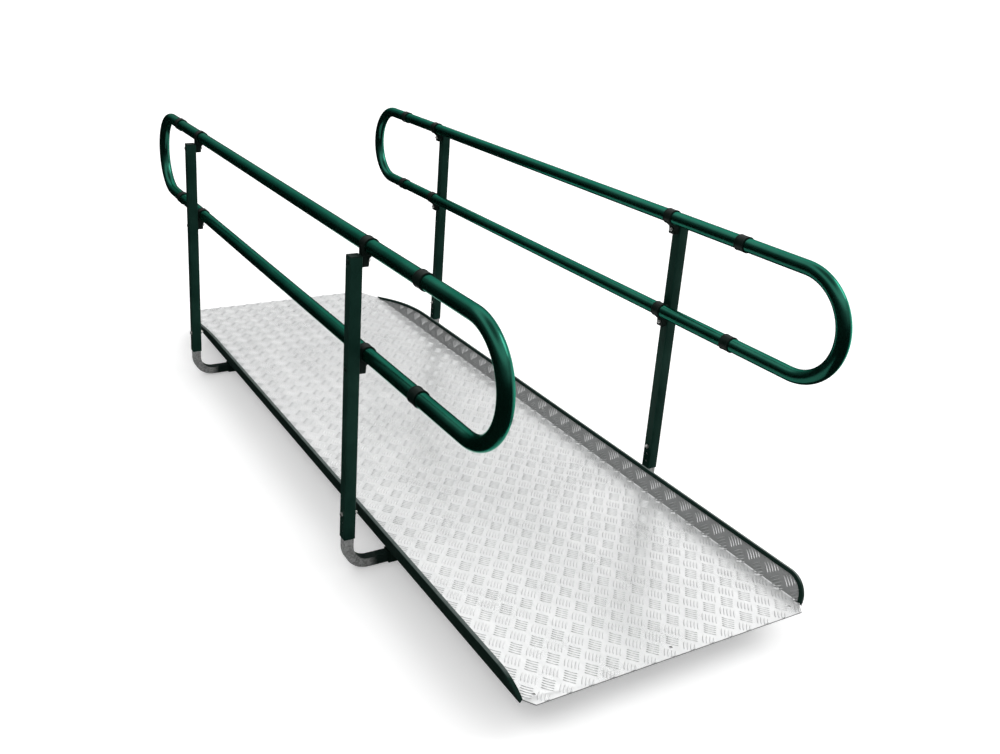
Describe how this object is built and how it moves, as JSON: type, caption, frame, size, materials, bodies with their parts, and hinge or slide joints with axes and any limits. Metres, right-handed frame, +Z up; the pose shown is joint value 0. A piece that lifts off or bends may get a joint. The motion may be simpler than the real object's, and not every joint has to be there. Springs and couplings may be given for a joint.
{
  "type": "wheelchair ramp",
  "caption": "Portable wheelchair ramp: a tread plate deck with splayed kerbs, and tubular handrails with looped ends that slide out of sockets under the deck.",
  "frame": {"origin": "under the middle of the ramp, on the plane of the cross tubes' undersides, on which the level ramp rests", "axes": "+X across the ramp to the right for a person going up it, +Y along the ramp from its near, low end to its far, high end, +Z up, square to the deck"},
  "size_m": [1.1684, 2.975, 1.0195],
  "materials": {
    "tread_plate": "mill finish five-bar tread plate",
    "kerb_trim_paint": "dark green powder coat",
    "frame_paint": "dark green powder coat",
    "handrail_paint": "green powder coat, satin",
    "galvanised_bracket": "hot-dip galvanised",
    "collar_nylon": "black moulded nylon",
    "clamp_nylon": "black moulded nylon",
    "post_cap_plastic": "dark green moulded cap",
    "zinc_bolt": "zinc plated"
  },
  "bodies": {
    "ramp_deck": {"deck_plate": "tread_plate", "left_kerb_trim": "kerb_trim_paint", "right_kerb_trim": "kerb_trim_paint", "left_stringer": "frame_paint", "centre_stringer": "frame_paint", "right_stringer": "frame_paint", "near_cross_tube": "frame_paint", "far_cross_tube": "frame_paint"},
    "left_brackets": {"left_near_bracket": "galvanised_bracket", "left_far_bracket": "galvanised_bracket"},
    "left_handrail": {"left_near_post": "handrail_paint", "left_near_post_cap": "post_cap_plastic", "left_near_foot_bolt": "zinc_bolt", "left_near_foot_nut": "zinc_bolt", "left_near_top_clamp": "clamp_nylon", "left_near_mid_clamp": "clamp_nylon", "left_near_top_clamp_bolt": "zinc_bolt", "left_near_mid_clamp_bolt": "zinc_bolt", "left_near_top_collar": "collar_nylon", "left_near_mid_collar": "collar_nylon", "left_near_loop": "handrail_paint", "left_far_post": "handrail_paint", "left_far_post_cap": "post_cap_plastic", "left_far_foot_bolt": "zinc_bolt", "left_far_foot_nut": "zinc_bolt", "left_far_top_clamp": "clamp_nylon", "left_far_mid_clamp": "clamp_nylon", "left_far_top_clamp_bolt": "zinc_bolt", "left_far_mid_clamp_bolt": "zinc_bolt", "left_far_top_collar": "collar_nylon", "left_far_mid_collar": "collar_nylon", "left_far_loop": "handrail_paint", "left_top_rail": "handrail_paint", "left_mid_rail": "handrail_paint"},
    "right_brackets": {"right_near_bracket": "galvanised_bracket", "right_far_bracket": "galvanised_bracket"},
    "right_handrail": {"right_near_post": "handrail_paint", "right_near_post_cap": "post_cap_plastic", "right_near_foot_bolt": "zinc_bolt", "right_near_foot_nut": "zinc_bolt", "right_near_top_clamp": "clamp_nylon", "right_near_mid_clamp": "clamp_nylon", "right_near_top_clamp_bolt": "zinc_bolt", "right_near_mid_clamp_bolt": "zinc_bolt", "right_near_top_collar": "collar_nylon", "right_near_mid_collar": "collar_nylon", "right_near_loop": "handrail_paint", "right_far_post": "handrail_paint", "right_far_post_cap": "post_cap_plastic", "right_far_foot_bolt": "zinc_bolt", "right_far_foot_nut": "zinc_bolt", "right_far_top_clamp": "clamp_nylon", "right_far_mid_clamp": "clamp_nylon", "right_far_top_clamp_bolt": "zinc_bolt", "right_far_mid_clamp_bolt": "zinc_bolt", "right_far_top_collar": "collar_nylon", "right_far_mid_collar": "collar_nylon", "right_far_loop": "handrail_paint", "right_top_rail": "handrail_paint", "right_mid_rail": "handrail_paint"}
  },
  "joints": [
    {"name": "left_socket_slide", "type": "slide", "parent": "ramp_deck", "child": "left_brackets", "axis": [-1, 0, 0], "range_m": [0, 0.14]},
    {"name": "left_height_slide", "type": "slide", "parent": "left_brackets", "child": "left_handrail", "axis": [0, 0, 1], "range_m": [0, 0.056]},
    {"name": "right_socket_slide", "type": "slide", "parent": "ramp_deck", "child": "right_brackets", "axis": [1, 0, 0], "range_m": [0, 0.14]},
    {"name": "right_height_slide", "type": "slide", "parent": "right_brackets", "child": "right_handrail", "axis": [0, 0, 1], "range_m": [0, 0.056]}
  ]
}
